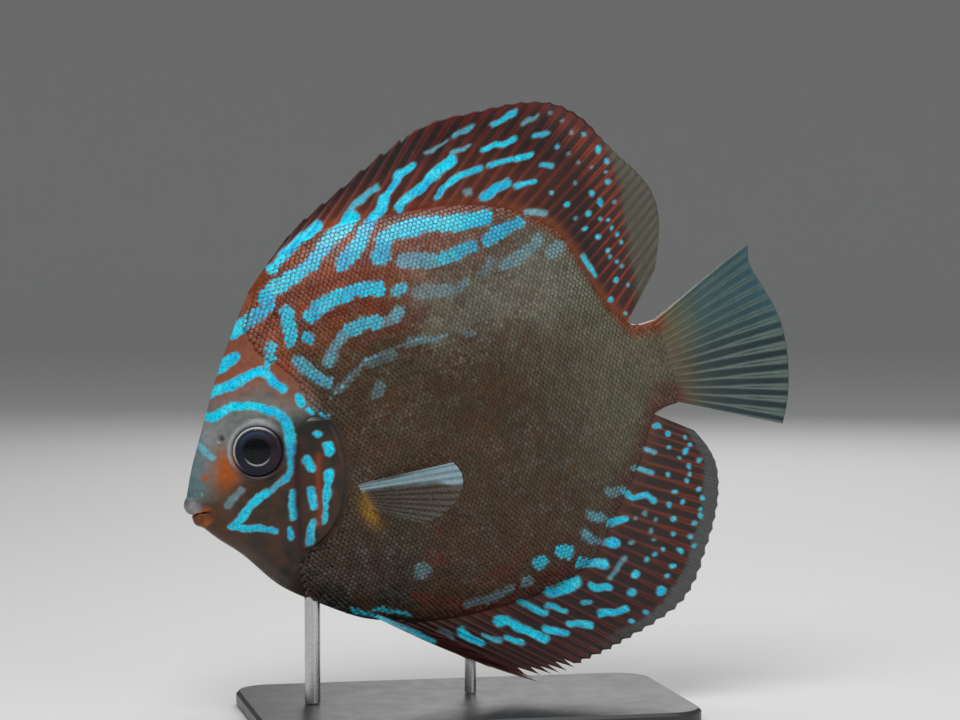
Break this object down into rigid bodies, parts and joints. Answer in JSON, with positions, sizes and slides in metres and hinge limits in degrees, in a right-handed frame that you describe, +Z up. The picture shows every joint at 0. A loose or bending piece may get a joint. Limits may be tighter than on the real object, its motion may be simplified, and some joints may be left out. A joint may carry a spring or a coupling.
{
  "type": "discus fish display model",
  "caption": "Life-size still model of a discus fish, nose a little down with fins spread, held by two short rods on a flat rounded base.",
  "frame": {"origin": "centre of the bounding box, on the floor under the stand's base", "axes": "+Z up, +X from the fish's nose towards its tail, +Y from its left flank to its right"},
  "size_m": [0.159, 0.066, 0.1572],
  "materials": {
    "skin": "satin, scaled, olive brown with turquoise and rust marks",
    "red_fin": "satin, maroon with turquoise marks and a clear margin",
    "clear_fin": "satin, translucent olive grey with pale rays",
    "eye": "wet gloss, near black",
    "stand_base": "satin black",
    "stand_rod": "fine satin"
  },
  "bodies": {
    "root": {"head": "skin", "gill_cover_left": "skin", "gill_cover_right": "skin", "torso": "skin", "tail_stalk": "skin", "dorsal_fin": "red_fin", "anal_fin": "red_fin", "caudal_fin": "clear_fin", "pectoral_fin_left": "clear_fin", "pectoral_fin_right": "clear_fin", "pelvic_fin_left": "red_fin", "pelvic_fin_right": "red_fin", "eye_left": "eye", "eye_right": "eye", "stand_base": "stand_base", "stand_rod_front": "stand_rod", "stand_rod_rear": "stand_rod"}
  },
  "joints": []
}
